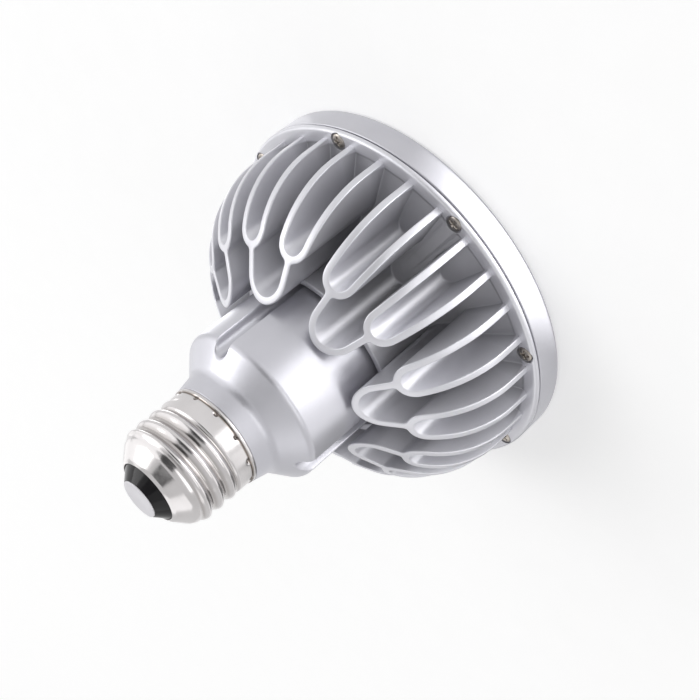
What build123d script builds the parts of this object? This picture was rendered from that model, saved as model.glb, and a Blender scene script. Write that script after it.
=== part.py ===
from build123d import *
import os
from math import cos, radians, sin, tan

# LED spotlight lamp with a die-cast heat sink of branching fins and a screw base.
# Millimetres and degrees. The lamp stands on its front bezel: the origin is the centre of the front face
# and +Z runs along the axis towards the screw base.

# Fits
CLEARANCE = 0.1          # between pieces that slide together
SCREW_FIT = 0.05         # between a screw's shank and its hole

# Front bezel
BEZEL_RADIUS = 47.5
BEZEL_HEIGHT = 7.2
BEZEL_WALL = 4.3
LIP_THICK = 1.6
LIP_WIDTH = 1.8          # how far the front lip reaches inwards past the bore
BEZEL_ROUND = 1.2        # rounding of the front edge
SEAM_GAP = 0.35          # open groove between bezel and flange
SEAM_DEPTH = 0.9
SEAM_CHAMFER = 0.3

# Neck housing
NECK_RADIUS = 20.3
NECK_WALL = 1.8
NECK_SHOULDER = 53.9     # height of the shoulder edge above the front face
FLARE_HEIGHT = 5.7       # from the shoulder to the crease under the collar
COLLAR_HEIGHT = 4.9
COLLAR_TAPER = 1.0       # how much wider the collar is at the crease
COLLAR_STEP = 0.1        # how far the collar stands out past the shell's rim
SHOULDER_ROUND = 2.4
CREASE_ROUND = 4.0
GROOVE_COUNT = 3
GROOVE_START = 90.0      # angle of the first groove
GROOVE_WIDTH = 4.4
GROOVE_DEPTH = 3.0
NECK_BOSS = 2.4          # radius
NECK_BOSS_INSET = 2.3    # from the neck's bore to the boss's axis
NECK_BOSS_HEIGHT = 11.0
SPIGOT_GAP = 0.2         # between the spigot and the shell
SPIGOT_LENGTH = 9.5      # reach above the collar

# Heat sink: flange, bowl, plate and hub
FLANGE_WIDTH = 4.1
FLANGE_THICK = 1.3
FLANGE_ROUND = 0.9
FLOOR_STEP = 0.1         # how far the bowl's floor lies below the flange's back
BOWL_WALL = 2.1
BOWL_RISE = 7.4          # rise of the floor from the flange to the hub
PLATE_THICK = 4.0        # plate between the bowl and the hub, which carries the light source
HUB_GAP = 1.2            # between the neck and the hub
HUB_WALL = 1.7
HUB_TOP = 31.6           # height above the front face
WIRE_HOLE = 2.6          # radius

# Heat sink: fins. Each group is a pair of stems that fork into four fins.
FIN_GROUPS = 8
FIN_WALL = 1.7
FIN_SETBACK = 2.5        # from the bezel's outside to the fins' outer edge
STEM_REACH = 11.1        # from the hub's bore to the closed end of the outer forks
FORK_FILLET = 1.0        # in the corner between a stem and its fork
BELL_RADIUS = 24.4       # arc of the fins' outer edge, seen from the side
BELL_HEIGHT = 13.9       # height of the arc's centre
BELL_SWEEP = 60.0        # angle of the arc, which a straight cone then follows

# Screws
SCREW_SHANK = 0.95       # radius
SCREW_HEAD = 1.9         # radius
SCREW_HEAD_HEIGHT = 0.9
SCREW_BITE = 5.0         # length in the bezel
SCREW_INSET = 1.8        # from the bezel's bore to the screws
SPOT_RADIUS = 2.2
SPOT_DEPTH = 0.7
BOSS_RADIUS = 2.9
LED_SCREW_SHANK = 1.2
LED_SCREW_HEAD = 2.2
LED_SCREW_HEAD_HEIGHT = 1.4
LED_SCREW_BITE = 3.2     # length in the plate
LED_SCREW_INSET = 3.0    # from the edge of the light source's board
NECK_SCREW_SHANK = 1.2
NECK_SCREW_HEAD = 2.3
NECK_SCREW_HEAD_HEIGHT = 1.5
NECK_SCREW_BITE = 7.0    # length in the neck
HEAD_RIM = 0.4           # height of the upright edge of a screw's head
RECESS_WIDTH = 0.55      # of the cross recess
RECESS_DEPTH = 0.5
RECESS_MARGIN = 0.75     # between the recess and the edge of the head

# Optic and light source
GASKET_THICK = 0.8
OPTIC_GAP = 0.3          # between the optic's rim and the bezel's bore
OPTIC_SEAT = 1.6         # width of the rim that seats on the flange
OPTIC_STEP = 0.8         # from the seat down to the sloping back
OPTIC_CORE = 15.0        # radius of the raised middle
OPTIC_CLEAR = 0.8        # between the raised middle and the screws of the light source
OPTIC_WELL = 6.8         # radius of the recess over the light source
OPTIC_WELL_END = 5.4     # radius at the bottom of the recess
OPTIC_WELL_DEPTH = 4.6
PAD_THICK = 0.5
BOARD_THICK = 1.6
BOARD_GAP = 1.9          # between the light source's board and the neck screws
LED_SIZE = 7.0
LED_THICK = 0.9
LED_DOME = 2.6           # radius

# Screw base
SHELL_HEIGHT = 20.6      # from the rolled rim to the open end
SHELL_WALL = 0.5
RIM_STEP = 0.3
RIM_HEIGHT = 0.7
SKIRT_STEP = 0.67        # how far the skirt stands out past the thread's root
SKIRT_LENGTH = 2.9
THREAD_CREST = 13.1      # radius
THREAD_DEPTH = 0.87
THREAD_PITCH = 3.63      # seven turns to the inch
THREAD_LEAD = 1.3        # height of the ridge's start above the skirt
THREAD_RUNOUT = 1.7      # from the ridge's end to the nose
THREAD_START = 90.0      # angle of the ridge's start
RIDGE_WIDTH = 2.9
NOSE_DROP = 4.1          # how far the nose narrows, at 45 degrees
NOSE_ROUND = 3.4
INSULATOR_DEPTH = 6.6    # reach into the shell
TIP_PROUD = 2.7          # from the shell's open end to the tip
TIP_RADIUS = 4.95
TIP_THICK = 0.4
TIP_CROWN = 0.15
TIP_MARGIN = 0.15        # of the insulator around the tip
EYELET_RADIUS = 1.5
EYELET_LENGTH = 3.0

# Driver board and leads
DRIVER_GAP = 2.5         # from the plate to the board's lower edge
DRIVER_DROP = 2.9        # from the shoulder down to where the board narrows
DRIVER_SHORT = 0.5       # from the shell's rim down to the board's upper edge
RAIL_SEAT = 1.4          # between the neck's bore and the board's edge
RAIL_DEPTH = 1.8         # how far the rails reach inwards past the board's edge
RAIL_WIDTH = 4.2
TONGUE_GAP = 2.0         # between the board's narrow part and the spigot's bore
LEAD_RADIUS = 0.6
LEAD_SPACING = 2.6       # between the two leads of the light source
LEAD_BEND = 2.0
LEAD_HEIGHT = 2.6        # of the leads' soldered ends above the board's lower edge
LEAD_OVERLAP = 5.0       # length soldered to a board
NEUTRAL_OFFSET = 6.0     # of the shell's lead from the axis

# Driver pieces: sizes, and the place of each middle, across and up from the board's lower edge
COIL_PLACE = (-5.0, 16.0)
COIL_RADIUS = 5.0
COIL_DEPTH = 9.0
CORE_LIMB = 2.6          # thickness of the core's outer limbs
CORE_POST = 2.2          # radius of the core's middle post
BULK_PLACE = (8.0, 13.0)
BULK_RADIUS = 4.0
BULK_LENGTH = 12.0
BULK_ROUND = 0.6
FILM_PLACE = (5.0, 23.0)
FILM_WIDTH = 11.0
FILM_HEIGHT = 9.0
FILM_DEPTH = 5.0
FILM_ROUND = 1.0
INDUCTOR_PLACE = (-6.5, 23.0)
INDUCTOR_RADIUS = 4.5
INDUCTOR_WAIST = 3.6     # radius
INDUCTOR_RIM = 1.5
INDUCTOR_DEPTH = 8.0
BRIDGE_PLACE = (6.0, 12.0)
BRIDGE_WIDTH = 6.5
BRIDGE_HEIGHT = 5.0
BRIDGE_DEPTH = 2.4
TRANSISTOR_PLACE = (-6.5, 11.0)
TRANSISTOR_WIDTH = 6.6
TRANSISTOR_HEIGHT = 6.1
TRANSISTOR_DEPTH = 2.3
CHIP_PLACE = (0.0, 5.0)
CHIP_WIDTH = 4.9
CHIP_HEIGHT = 3.9
CHIP_DEPTH = 1.5
FUSE_PLACE = (3.0, 35.0)
FUSE_RADIUS = 1.8
FUSE_LENGTH = 9.0
FUSE_ROUND = 0.4

# Worked out from the sizes above
BEZEL_BORE = BEZEL_RADIUS - BEZEL_WALL
LIP_OPENING = BEZEL_BORE - LIP_WIDTH
SCREW_CIRCLE = BEZEL_BORE + SCREW_INSET
NECK_BORE = NECK_RADIUS - NECK_WALL
HUB_BORE = NECK_RADIUS + HUB_GAP
HUB_RADIUS = HUB_BORE + HUB_WALL
FLANGE_INNER = BEZEL_RADIUS - FLANGE_WIDTH
FLANGE_BACK = BEZEL_HEIGHT + FLANGE_THICK
FLOOR_LOW = FLANGE_BACK - FLOOR_STEP
FLOOR_SLOPE = BOWL_RISE / (FLANGE_INNER - HUB_RADIUS)
PLATE_BOTTOM = FLOOR_LOW + BOWL_RISE - BOWL_WALL + FLOOR_SLOPE * HUB_WALL
PLATE_TOP = PLATE_BOTTOM + PLATE_THICK
FIN_REACH = BEZEL_RADIUS - FIN_SETBACK
FORK_THROAT = HUB_BORE + STEM_REACH
GROUP_ANGLE = 360 / FIN_GROUPS
STEM_ANGLE = GROUP_ANGLE / 4
FIN_ANGLE = GROUP_ANGLE / 8
NECK_SCREW_CIRCLE = NECK_BORE - NECK_BOSS_INSET
NECK_SCREW_START = GROOVE_START + 180 / GROOVE_COUNT
OPTIC_FRONT = LIP_THICK + GASKET_THICK
OPTIC_RIM = BEZEL_BORE - OPTIC_GAP
LED_BOARD_TOP = PLATE_BOTTOM - PAD_THICK
LED_BOARD_BOTTOM = LED_BOARD_TOP - BOARD_THICK
LED_BOARD_RADIUS = NECK_SCREW_CIRCLE - NECK_SCREW_HEAD - BOARD_GAP
LED_SCREW_CIRCLE = LED_BOARD_RADIUS - LED_SCREW_INSET
WIRE_CIRCLE = LED_BOARD_RADIUS + WIRE_HOLE
THREAD_ROOT = THREAD_CREST - THREAD_DEPTH
SHELL_BORE = THREAD_ROOT - SHELL_WALL
SKIRT_RADIUS = THREAD_ROOT + SKIRT_STEP
RIM_RADIUS = SKIRT_RADIUS + RIM_STEP
COLLAR_RADIUS = RIM_RADIUS + COLLAR_STEP
CREASE_RADIUS = COLLAR_RADIUS + COLLAR_TAPER
NECK_CREASE = NECK_SHOULDER + FLARE_HEIGHT
SHELL_RIM = NECK_CREASE + COLLAR_HEIGHT
SKIRT_TOP = SHELL_RIM + SKIRT_LENGTH
NOSE_TOP = SHELL_RIM + SHELL_HEIGHT
NOSE_START = NOSE_TOP - NOSE_DROP
SHELL_NOSE = THREAD_ROOT - NOSE_DROP
LAMP_LENGTH = NOSE_TOP + TIP_PROUD
TIP_SEAT = LAMP_LENGTH - TIP_THICK
SPIGOT_RADIUS = SHELL_BORE - SPIGOT_GAP
SPIGOT_BORE = SPIGOT_RADIUS - NECK_WALL
SPIGOT_TOP = SHELL_RIM + SPIGOT_LENGTH
DRIVER_BOTTOM = PLATE_TOP + DRIVER_GAP
DRIVER_SHOULDER = NECK_SHOULDER - DRIVER_DROP
DRIVER_TOP = SHELL_RIM - DRIVER_SHORT
DRIVER_HALF_WIDTH = NECK_BORE - RAIL_SEAT
TONGUE_HALF_WIDTH = SPIGOT_BORE - TONGUE_GAP
BOARD_FACE = BOARD_THICK / 2


def floor_height(radius):
    """Height of the bowl's outer floor at a radius."""
    return FLOOR_LOW + FLOOR_SLOPE * (FLANGE_INNER - radius)


def bowl_radius(height):
    """Radius of the bowl's inner cone at a height."""
    return FLANGE_INNER - (height - FLOOR_LOW + BOWL_WALL) / FLOOR_SLOPE


def profile(*points):
    """Closed face of (radius, height) points."""
    return make_face(Polyline(*points, close=True))


def rounded(face, radius, *corners):
    """Face with the corners nearest to the given points rounded."""
    chosen = [face.vertices().sort_by_distance((x, y, 0))[0] for x, y in corners]
    return fillet(chosen, radius)


def turned(face):
    """Solid of a (radius, height) face turned about the lamp's axis."""
    return revolve(Plane.XZ * face, Axis.Z)


def rod(radius, low, high, x=0, y=0):
    """Upright cylinder between two heights."""
    return Pos(x, y, low) * Cylinder(radius, high - low, align=(Align.CENTER, Align.CENTER, Align.MIN))


def block(width, depth, low, high, x=0, y=0):
    """Upright box between two heights, centred on x and y."""
    return Pos(x, y, low) * Box(width, depth, high - low, align=(Align.CENTER, Align.CENTER, Align.MIN))


def around(count, solid, start=0.0):
    """Copies of a solid, evenly spaced about the axis."""
    return [Rot(0, 0, start + 360 * k / count) * solid for k in range(count)]


def polar(radius, angle):
    """Point on a circle about the axis."""
    return radius * cos(radians(angle)), radius * sin(radians(angle))


# Heat sink

def radial_wall(angle, start, end):
    """Plan of one straight radial wall of the fins."""
    return Rot(0, 0, angle) * Pos((start + end) / 2, 0) * Rectangle(end - start, FIN_WALL)


def fork(angle, throat, half_angle):
    """Plan of a hairpin bend tangent to two radial walls, and the radius where those walls begin."""
    sine = sin(radians(half_angle))
    centre = throat / (1 - sine)
    bend = centre * sine
    first, sweep = 90 + half_angle, 180 - 2 * half_angle
    outer = CenterArc((centre, 0), bend + FIN_WALL / 2, first, sweep)
    inner = CenterArc((centre, 0), bend - FIN_WALL / 2, first, sweep)
    ends = [Line(outer @ 0, inner @ 0), Line(outer @ 1, inner @ 1)]
    return Rot(0, 0, angle) * make_face([outer, inner, *ends]), centre * cos(radians(half_angle))


def fin_plan():
    """Plan of one fin group about +X: a hairpin at the hub, two stems, two forks and four fins."""
    plan, stem_start = fork(0, HUB_BORE + FIN_WALL / 2, STEM_ANGLE)
    junctions = []
    for side in (-STEM_ANGLE, STEM_ANGLE):
        hairpin, fin_start = fork(side, FORK_THROAT, FIN_ANGLE)
        plan += hairpin
        plan += radial_wall(side, stem_start, FORK_THROAT)
        for fin in (side - FIN_ANGLE, side + FIN_ANGLE):
            plan += radial_wall(fin, fin_start, FIN_REACH + FIN_WALL)
        junctions.append(Vertex(*polar(FORK_THROAT - FIN_WALL / 2, side)))
    plan = plan.clean()
    corners = [v for v in plan.vertices() for j in junctions if v.distance_to(j) < FIN_WALL]
    return fillet(corners, FORK_FILLET)


def fin_zone():
    """Space that the fins fill: under the bell, and down into the bowl's wall."""
    centre = FIN_REACH - BELL_RADIUS
    bell = CenterArc((centre, BELL_HEIGHT), BELL_RADIUS, 0, BELL_SWEEP)
    tip = bell @ 1
    inner_top = tip.Y + (tip.X - HUB_BORE) / tan(radians(BELL_SWEEP))
    sunk = BOWL_WALL / 2
    rest = Polyline(
        tip,
        (HUB_BORE, inner_top),
        (HUB_BORE, floor_height(HUB_BORE) - sunk),
        (FLANGE_INNER, FLOOR_LOW - sunk),
        (FIN_REACH, FLOOR_LOW),
        bell @ 0,
    )
    return turned(make_face([bell, rest]))


def heat_sink():
    body = profile(
        (0, PLATE_BOTTOM),
        (bowl_radius(PLATE_BOTTOM), PLATE_BOTTOM),
        (bowl_radius(BEZEL_HEIGHT), BEZEL_HEIGHT),
        (BEZEL_RADIUS, BEZEL_HEIGHT),
        (BEZEL_RADIUS, FLANGE_BACK),
        (FLANGE_INNER, FLANGE_BACK),
        (FLANGE_INNER, FLOOR_LOW),
        (HUB_RADIUS, floor_height(HUB_RADIUS)),
        (HUB_RADIUS, HUB_TOP),
        (HUB_BORE, HUB_TOP),
        (HUB_BORE, PLATE_TOP),
        (0, PLATE_TOP),
    )
    sink = turned(rounded(body, FLANGE_ROUND, (BEZEL_RADIUS, FLANGE_BACK)))
    group = extrude(fin_plan(), amount=LAMP_LENGTH) & fin_zone()
    boss = rod(BOSS_RADIUS, BEZEL_HEIGHT, FLANGE_BACK, SCREW_CIRCLE)
    boss = boss & rod(BEZEL_RADIUS - FLANGE_ROUND, BEZEL_HEIGHT, FLANGE_BACK)
    sink = sink.fuse(*around(FIN_GROUPS, group), *around(FIN_GROUPS, boss))
    spot = rod(SPOT_RADIUS, FLANGE_BACK - SPOT_DEPTH, HUB_TOP, SCREW_CIRCLE)
    hole = rod(SCREW_SHANK + SCREW_FIT, 0, HUB_TOP, SCREW_CIRCLE)
    led_hole = rod(LED_SCREW_SHANK + SCREW_FIT, 0, PLATE_BOTTOM + LED_SCREW_BITE, LED_SCREW_CIRCLE)
    neck_hole = rod(NECK_SCREW_SHANK + SCREW_FIT, 0, HUB_TOP, NECK_SCREW_CIRCLE)
    return sink.cut(
        *around(FIN_GROUPS, spot),
        *around(FIN_GROUPS, hole),
        *around(2, led_hole),
        *around(GROOVE_COUNT, neck_hole, NECK_SCREW_START),
        rod(WIRE_HOLE, 0, HUB_TOP, *polar(WIRE_CIRCLE, GROOVE_START)),
    )


# Screws

def pan_screw(shank, head, head_height, length):
    """Pan-head screw that points down, its head's underside at height 0, with a cross recess."""
    dome = make_face([
        Polyline((0, head_height), (0, 0), (head, 0), (head, HEAD_RIM)),
        TangentArc((0, head_height), (head, HEAD_RIM), tangent=(1, 0)),
    ])
    recess = block(2 * (head - RECESS_MARGIN), RECESS_WIDTH, head_height - RECESS_DEPTH, head_height)
    return turned(dome) + rod(shank, -length, 0) - recess - Rot(0, 0, 90) * recess


def bezel_screws():
    seat = FLANGE_BACK - SPOT_DEPTH
    screw = pan_screw(SCREW_SHANK, SCREW_HEAD, SCREW_HEAD_HEIGHT, seat - BEZEL_HEIGHT + SCREW_BITE)
    return Compound(children=around(FIN_GROUPS, Pos(SCREW_CIRCLE, 0, seat) * screw))


def led_board_screws():
    length = BOARD_THICK + PAD_THICK + LED_SCREW_BITE
    screw = pan_screw(LED_SCREW_SHANK, LED_SCREW_HEAD, LED_SCREW_HEAD_HEIGHT, length)
    upward = Pos(LED_SCREW_CIRCLE, 0, LED_BOARD_BOTTOM) * Rot(180, 0, 0) * screw
    return Compound(children=around(2, upward))


def neck_screws():
    length = PLATE_THICK + NECK_SCREW_BITE
    screw = pan_screw(NECK_SCREW_SHANK, NECK_SCREW_HEAD, NECK_SCREW_HEAD_HEIGHT, length)
    upward = Pos(NECK_SCREW_CIRCLE, 0, PLATE_BOTTOM) * Rot(180, 0, 0) * screw
    return Compound(children=around(GROOVE_COUNT, upward, NECK_SCREW_START))


# Front

def front_bezel():
    step = BEZEL_HEIGHT - SEAM_GAP
    section = profile(
        (LIP_OPENING, 0),
        (BEZEL_RADIUS, 0),
        (BEZEL_RADIUS, step),
        (BEZEL_RADIUS - SEAM_DEPTH, step),
        (BEZEL_RADIUS - SEAM_DEPTH, BEZEL_HEIGHT),
        (BEZEL_BORE, BEZEL_HEIGHT),
        (BEZEL_BORE, LIP_THICK),
        (LIP_OPENING, LIP_THICK),
    )
    section = rounded(section, BEZEL_ROUND, (BEZEL_RADIUS, 0))
    section = chamfer(section.vertices().sort_by_distance((BEZEL_RADIUS, step, 0))[0], SEAM_CHAMFER)
    pilot = rod(SCREW_SHANK + SCREW_FIT, BEZEL_HEIGHT - SCREW_BITE, FLANGE_BACK, SCREW_CIRCLE)
    return turned(section).cut(*around(FIN_GROUPS, pilot))


def optic_gasket():
    return turned(profile(
        (LIP_OPENING, LIP_THICK),
        (OPTIC_RIM, LIP_THICK),
        (OPTIC_RIM, OPTIC_FRONT),
        (LIP_OPENING, OPTIC_FRONT),
    ))


def front_optic():
    core = LED_BOARD_BOTTOM - LED_SCREW_HEAD_HEIGHT - OPTIC_CLEAR
    return turned(profile(
        (0, OPTIC_FRONT),
        (OPTIC_RIM, OPTIC_FRONT),
        (OPTIC_RIM, BEZEL_HEIGHT),
        (OPTIC_RIM - OPTIC_SEAT, BEZEL_HEIGHT),
        (bowl_radius(BEZEL_HEIGHT) - OPTIC_SEAT, BEZEL_HEIGHT - OPTIC_STEP),
        (OPTIC_CORE, core),
        (OPTIC_WELL, core),
        (OPTIC_WELL_END, core - OPTIC_WELL_DEPTH),
        (0, core - OPTIC_WELL_DEPTH),
    ))


def screwed_disc(low, high):
    """Disc of the light source's board, with its two screw holes."""
    hole = rod(LED_SCREW_SHANK + SCREW_FIT, low, high, LED_SCREW_CIRCLE)
    return rod(LED_BOARD_RADIUS, low, high).cut(*around(2, hole))


def thermal_pad():
    return screwed_disc(LED_BOARD_TOP, PLATE_BOTTOM)


def led_board():
    return screwed_disc(LED_BOARD_BOTTOM, LED_BOARD_TOP)


def led_emitter():
    package = block(LED_SIZE, LED_SIZE, LED_BOARD_BOTTOM - LED_THICK, LED_BOARD_BOTTOM)
    half = Sphere(LED_DOME, arc_size2=0, align=(Align.CENTER, Align.CENTER, Align.MAX))
    return package + Pos(0, 0, LED_BOARD_BOTTOM - LED_THICK) * half


# Neck

def neck_section():
    """Section of the neck: cylinder, flare, collar and spigot, open at both ends."""
    slope = (NECK_RADIUS - CREASE_RADIUS) / FLARE_HEIGHT
    inner_shoulder = NECK_SHOULDER - NECK_WALL
    inner_crease = inner_shoulder + (NECK_BORE - SPIGOT_BORE) / slope
    skirt_fit = SKIRT_RADIUS - SHELL_WALL - CLEARANCE
    skirt_end = SKIRT_TOP - SHELL_WALL - CLEARANCE
    section = profile(
        (NECK_BORE, PLATE_TOP),
        (NECK_RADIUS, PLATE_TOP),
        (NECK_RADIUS, NECK_SHOULDER),
        (CREASE_RADIUS, NECK_CREASE),
        (COLLAR_RADIUS, SHELL_RIM),
        (skirt_fit, SHELL_RIM),
        (skirt_fit, skirt_end),
        (SPIGOT_RADIUS, skirt_end),
        (SPIGOT_RADIUS, SPIGOT_TOP),
        (SPIGOT_BORE, SPIGOT_TOP),
        (SPIGOT_BORE, inner_crease),
        (NECK_BORE, inner_shoulder),
    )
    section = rounded(section, SHOULDER_ROUND, (NECK_RADIUS, NECK_SHOULDER))
    return rounded(section, CREASE_ROUND, (CREASE_RADIUS, NECK_CREASE))


def neck_groove():
    """Axial round-bottomed channel along +X, which runs out on the flare."""
    centre = NECK_RADIUS - GROOVE_DEPTH + GROOVE_WIDTH / 2
    section = Pos(centre, 0) * Circle(GROOVE_WIDTH / 2)
    section += Pos(centre + NECK_WALL, 0) * Rectangle(2 * NECK_WALL, GROOVE_WIDTH)
    return extrude(Pos(0, 0, PLATE_TOP) * section, amount=NECK_CREASE - PLATE_TOP)


def neck_housing():
    inside = rod(NECK_RADIUS - NECK_WALL / 2, PLATE_TOP, NECK_SHOULDER)
    boss = rod(NECK_BOSS, PLATE_TOP, PLATE_TOP + NECK_BOSS_HEIGHT, NECK_SCREW_CIRCLE)
    land_start = NECK_RADIUS - GROOVE_DEPTH - NECK_WALL
    land_width = GROOVE_WIDTH + 2 * NECK_WALL
    land = block(NECK_RADIUS, land_width, PLATE_TOP, NECK_SHOULDER, land_start + NECK_RADIUS / 2)
    rail_start = DRIVER_HALF_WIDTH - RAIL_DEPTH
    rail = block(NECK_RADIUS, RAIL_WIDTH, DRIVER_BOTTOM, DRIVER_SHOULDER, rail_start + NECK_RADIUS / 2)
    added = [
        *around(GROOVE_COUNT, boss, NECK_SCREW_START),
        *around(GROOVE_COUNT, land, GROOVE_START),
        *around(2, rail),
    ]
    neck = turned(neck_section()).fuse(*[piece & inside for piece in added])
    slot = block(4 * NECK_RADIUS, BOARD_THICK + 2 * CLEARANCE, DRIVER_BOTTOM, DRIVER_SHOULDER + CLEARANCE)
    slot = slot & rod(DRIVER_HALF_WIDTH + CLEARANCE, DRIVER_BOTTOM, DRIVER_SHOULDER + CLEARANCE)
    pilot = rod(NECK_SCREW_SHANK + SCREW_FIT, PLATE_TOP, PLATE_TOP + NECK_SCREW_BITE, NECK_SCREW_CIRCLE)
    return neck.cut(
        *around(GROOVE_COUNT, neck_groove(), GROOVE_START),
        *around(GROOVE_COUNT, pilot, NECK_SCREW_START),
        slot,
    )


# Screw base

def screw_shell():
    inset = SHELL_WALL / 2
    section = profile(
        (SKIRT_RADIUS - SHELL_WALL, SHELL_RIM),
        (RIM_RADIUS, SHELL_RIM),
        (RIM_RADIUS, SHELL_RIM + RIM_HEIGHT),
        (SKIRT_RADIUS, SHELL_RIM + RIM_HEIGHT),
        (SKIRT_RADIUS, SKIRT_TOP),
        (THREAD_ROOT, SKIRT_TOP),
        (THREAD_ROOT, NOSE_START),
        (SHELL_NOSE, NOSE_TOP),
        (SHELL_NOSE - SHELL_WALL, NOSE_TOP - inset),
        (SHELL_BORE, NOSE_START - inset),
        (SHELL_BORE, SKIRT_TOP - SHELL_WALL),
        (SKIRT_RADIUS - SHELL_WALL, SKIRT_TOP - SHELL_WALL),
    )
    section = rounded(section, NOSE_ROUND, (THREAD_ROOT, NOSE_START))
    section = rounded(section, NOSE_ROUND - SHELL_WALL, (SHELL_BORE, NOSE_START - inset))
    first = SKIRT_TOP + THREAD_LEAD
    path = Helix(THREAD_PITCH, NOSE_START - THREAD_RUNOUT - first, THREAD_ROOT, center=(0, 0, first))
    ridge = make_face([
        ThreePointArc((-RIDGE_WIDTH / 2, -inset), (0, THREAD_DEPTH), (RIDGE_WIDTH / 2, -inset)),
        Line((RIDGE_WIDTH / 2, -inset), (-RIDGE_WIDTH / 2, -inset)),
    ])
    start = Plane(origin=path @ 0, x_dir=(0, 0, 1), z_dir=path % 0)
    thread = sweep(start * ridge, path=path, is_frenet=True)
    return turned(section) + Rot(0, 0, THREAD_START) * thread


def base_insulator():
    wall = SHELL_WALL + CLEARANCE
    hole = EYELET_RADIUS + CLEARANCE
    section = profile(
        (hole, NOSE_TOP - INSULATOR_DEPTH),
        (SHELL_BORE - CLEARANCE, NOSE_TOP - INSULATOR_DEPTH),
        (SHELL_BORE - CLEARANCE, NOSE_START - wall),
        (SHELL_NOSE - wall, NOSE_TOP - wall),
        (SHELL_NOSE - wall, NOSE_TOP),
        (TIP_RADIUS + TIP_MARGIN, TIP_SEAT),
        (hole, TIP_SEAT),
    )
    return turned(rounded(section, NOSE_ROUND, (SHELL_BORE - CLEARANCE, NOSE_START - wall)))


def tip_contact():
    edge = (TIP_RADIUS, LAMP_LENGTH - TIP_CROWN)
    crown = make_face([
        Polyline((0, LAMP_LENGTH), (0, TIP_SEAT), (TIP_RADIUS, TIP_SEAT), edge),
        TangentArc((0, LAMP_LENGTH), edge, tangent=(1, 0)),
    ])
    return turned(crown) + rod(EYELET_RADIUS, TIP_SEAT - EYELET_LENGTH, TIP_SEAT)


# Driver

def driver_board():
    outline = profile(
        (-DRIVER_HALF_WIDTH, DRIVER_BOTTOM),
        (DRIVER_HALF_WIDTH, DRIVER_BOTTOM),
        (DRIVER_HALF_WIDTH, DRIVER_SHOULDER),
        (TONGUE_HALF_WIDTH, DRIVER_SHOULDER),
        (TONGUE_HALF_WIDTH, DRIVER_TOP),
        (-TONGUE_HALF_WIDTH, DRIVER_TOP),
        (-TONGUE_HALF_WIDTH, DRIVER_SHOULDER),
        (-DRIVER_HALF_WIDTH, DRIVER_SHOULDER),
    )
    board = extrude(Plane.XZ * outline, amount=BOARD_FACE, both=True)
    return board & rod(DRIVER_HALF_WIDTH, DRIVER_BOTTOM, DRIVER_TOP)


def on_front(solid, place):
    """Solid that is drawn standing on height 0, set on the board's front face."""
    return Pos(place[0], BOARD_FACE, DRIVER_BOTTOM + place[1]) * Rot(-90, 0, 0) * solid


def on_back(solid, place):
    """Solid that is drawn standing on height 0, set on the board's back face."""
    return Pos(place[0], -BOARD_FACE, DRIVER_BOTTOM + place[1]) * Rot(90, 0, 0) * solid


def transformer_coil():
    return on_front(rod(COIL_RADIUS, 0, COIL_DEPTH) - rod(CORE_POST + CLEARANCE, 0, COIL_DEPTH), COIL_PLACE)


def transformer_core():
    window = COIL_RADIUS + CLEARANCE
    room = COIL_DEPTH + CLEARANCE
    yoke = block(2 * COIL_RADIUS, 2 * (window + CORE_LIMB), 0, room + CORE_LIMB)
    core = yoke - block(4 * COIL_RADIUS, 2 * window, 0, room) + rod(CORE_POST, 0, room)
    return on_front(core, COIL_PLACE)


def bulk_capacitor():
    can = rod(BULK_RADIUS, 0, BULK_LENGTH)
    can = fillet(can.edges().filter_by(GeomType.CIRCLE).sort_by(Axis.Z)[-1], BULK_ROUND)
    return on_front(can, BULK_PLACE)


def film_capacitor():
    body = block(FILM_WIDTH, FILM_HEIGHT, 0, FILM_DEPTH)
    return on_back(fillet(body.edges().filter_by(Axis.Z), FILM_ROUND), FILM_PLACE)


def filter_inductor():
    top = INDUCTOR_DEPTH - INDUCTOR_RIM
    waist = rod(INDUCTOR_RADIUS, INDUCTOR_RIM, top) - rod(INDUCTOR_WAIST, INDUCTOR_RIM, top)
    return on_back(rod(INDUCTOR_RADIUS, 0, INDUCTOR_DEPTH) - waist, INDUCTOR_PLACE)


def bridge_rectifier():
    return on_back(block(BRIDGE_WIDTH, BRIDGE_HEIGHT, 0, BRIDGE_DEPTH), BRIDGE_PLACE)


def power_transistor():
    return on_back(block(TRANSISTOR_WIDTH, TRANSISTOR_HEIGHT, 0, TRANSISTOR_DEPTH), TRANSISTOR_PLACE)


def controller_chip():
    return on_back(block(CHIP_WIDTH, CHIP_HEIGHT, 0, CHIP_DEPTH), CHIP_PLACE)


def fuse_resistor():
    body = rod(FUSE_RADIUS, 0, FUSE_LENGTH)
    return on_back(fillet(body.edges().filter_by(GeomType.CIRCLE), FUSE_ROUND), FUSE_PLACE)


# Leads

def lead(*points):
    """Round wire along straight runs joined by arcs."""
    path = FilletPolyline(*points, radius=LEAD_BEND)
    return sweep(Plane(origin=path @ 0, z_dir=path % 0) * Circle(LEAD_RADIUS), path=path)


def led_leads():
    height = DRIVER_BOTTOM + LEAD_HEIGHT
    pad = LED_BOARD_BOTTOM - LEAD_RADIUS
    wires = []
    for x in (-LEAD_SPACING / 2, LEAD_SPACING / 2):
        wires.append(lead(
            (x, BOARD_FACE, height),
            (x, WIRE_CIRCLE, height),
            (x, WIRE_CIRCLE, pad),
            (x, LED_BOARD_RADIUS - LEAD_OVERLAP, pad),
        ))
    return Compound(children=wires)


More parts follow.
